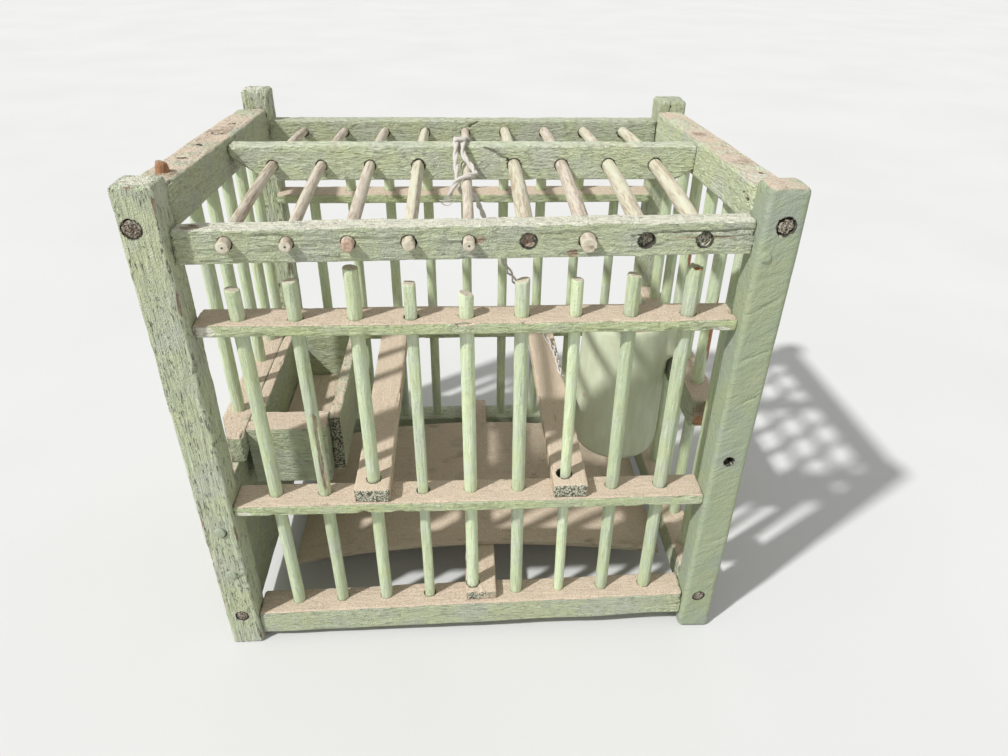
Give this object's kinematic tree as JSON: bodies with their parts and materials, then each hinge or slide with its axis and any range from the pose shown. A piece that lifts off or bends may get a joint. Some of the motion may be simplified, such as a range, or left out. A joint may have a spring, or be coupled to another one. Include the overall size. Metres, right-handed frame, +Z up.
{
  "type": "wooden canary cage",
  "caption": "Weathered green wooden bird cage: square posts, drilled slats, loose bars and roof rods, with perches, a seed trough, a hooked feeder cup and a length of string",
  "frame": {"origin": "on the ground under the middle of the four posts", "axes": "+X to the right seen from the front, +Y towards the back, +Z up"},
  "size_m": [0.27, 0.2044, 0.26],
  "materials": {
    "painted_wood": "weathered sage green paint, worn through to the wood on edges and upward faces",
    "bare_wood": "dry unpainted wood, grey tan",
    "worn_wood": "dusty tan wood with traces of green paint",
    "peg_wood": "dark open end grain with flecks of paint",
    "nail_steel": "steel nail heads painted over with the wood",
    "cup_paint": "smooth green paint on a turned cup",
    "cotton_string": "cream twisted cotton, frayed at one end"
  },
  "bodies": {
    "frame": {"back_bars": "painted_wood", "back_bottom_rail": "painted_wood", "back_lower_slat": "painted_wood", "back_top_rail": "painted_wood", "back_upper_slat": "painted_wood", "centre_strip": "worn_wood", "floor_board": "worn_wood", "front_bottom_rail": "painted_wood", "front_lower_slat": "painted_wood", "front_top_rail": "painted_wood", "front_upper_slat": "painted_wood", "left_back_post": "painted_wood", "left_front_post": "painted_wood", "left_ledge": "painted_wood", "left_perch": "worn_wood", "left_side_bars": "painted_wood", "left_side_board": "painted_wood", "left_top_rail": "painted_wood", "middle_rail": "painted_wood", "nails": "nail_steel", "rail_pegs": "peg_wood", "right_back_post": "painted_wood", "right_bottom_rail": "painted_wood", "right_front_post": "painted_wood", "right_mid_rail": "painted_wood", "right_perch": "worn_wood", "right_side_bars": "painted_wood", "right_top_rail": "painted_wood", "roof_rod_5": "bare_wood", "roof_rod_6": "bare_wood", "roof_rod_8": "bare_wood", "roof_rod_9": "bare_wood", "side_pegs": "peg_wood", "string": "cotton_string", "trough_back": "painted_wood", "trough_bottom": "painted_wood", "trough_front": "painted_wood", "trough_inner_side": "painted_wood", "trough_outer_side": "painted_wood"},
    "front_bar_1": {"front_bar_1": "painted_wood"},
    "front_bar_2": {"front_bar_2": "painted_wood"},
    "front_bar_3": {"front_bar_3": "painted_wood"},
    "front_bar_4": {"front_bar_4": "painted_wood"},
    "front_bar_5": {"front_bar_5": "painted_wood"},
    "front_bar_6": {"front_bar_6": "painted_wood"},
    "front_bar_7": {"front_bar_7": "painted_wood"},
    "front_bar_8": {"front_bar_8": "painted_wood"},
    "front_bar_9": {"front_bar_9": "painted_wood"},
    "roof_rod_1": {"roof_rod_1": "bare_wood"},
    "roof_rod_2": {"roof_rod_2": "bare_wood"},
    "roof_rod_3": {"roof_rod_3": "bare_wood"},
    "roof_rod_4": {"roof_rod_4": "bare_wood"},
    "roof_rod_7": {"roof_rod_7": "bare_wood"},
    "feeder_cup": {"feeder_cup": "cup_paint"}
  },
  "joints": [
    {"name": "front_bar_1_lift", "type": "slide", "parent": "frame", "child": "front_bar_1", "axis": [-0.0149, 0, 0.9999], "range_m": [0, 0.0125]},
    {"name": "front_bar_2_lift", "type": "slide", "parent": "frame", "child": "front_bar_2", "axis": [-0.0143, 0, 0.9999], "range_m": [0, 0.0093]},
    {"name": "front_bar_3_lift", "type": "slide", "parent": "frame", "child": "front_bar_3", "axis": [-0.0061, 0, 1], "range_m": [0, 0.0037]},
    {"name": "front_bar_4_lift", "type": "slide", "parent": "frame", "child": "front_bar_4", "axis": [-0.0072, 0, 1], "range_m": [0, 0.0116]},
    {"name": "front_bar_5_lift", "type": "slide", "parent": "frame", "child": "front_bar_5", "axis": [-0.0077, 0, 1], "range_m": [0, 0.0167]},
    {"name": "front_bar_6_lift", "type": "slide", "parent": "frame", "child": "front_bar_6", "axis": [-0.0072, 0, 1], "range_m": [0, 0.011]},
    {"name": "front_bar_7_lift", "type": "slide", "parent": "frame", "child": "front_bar_7", "axis": [-0.0099, 0, 1], "range_m": [0, 0.0115]},
    {"name": "front_bar_8_lift", "type": "slide", "parent": "frame", "child": "front_bar_8", "axis": [-0.0083, 0, 1], "range_m": [0, 0.0096]},
    {"name": "front_bar_9_lift", "type": "slide", "parent": "frame", "child": "front_bar_9", "axis": [0, 0, 1], "range_m": [0, 0.0055]},
    {"name": "roof_rod_1_draw", "type": "slide", "parent": "frame", "child": "roof_rod_1", "axis": [0, -1, 0], "range_m": [0, 0.17]},
    {"name": "roof_rod_2_draw", "type": "slide", "parent": "frame", "child": "roof_rod_2", "axis": [0, -1, 0], "range_m": [0, 0.17]},
    {"name": "roof_rod_3_draw", "type": "slide", "parent": "frame", "child": "roof_rod_3", "axis": [0, -1, 0], "range_m": [0, 0.17]},
    {"name": "roof_rod_4_draw", "type": "slide", "parent": "frame", "child": "roof_rod_4", "axis": [0, -1, 0], "range_m": [0, 0.17]},
    {"name": "roof_rod_7_draw", "type": "slide", "parent": "frame", "child": "roof_rod_7", "axis": [0, -1, 0], "range_m": [0, 0.17]},
    {"name": "feeder_cup_lift", "type": "slide", "parent": "frame", "child": "feeder_cup", "axis": [0, 0, 1], "range_m": [0, 0.05]}
  ]
}
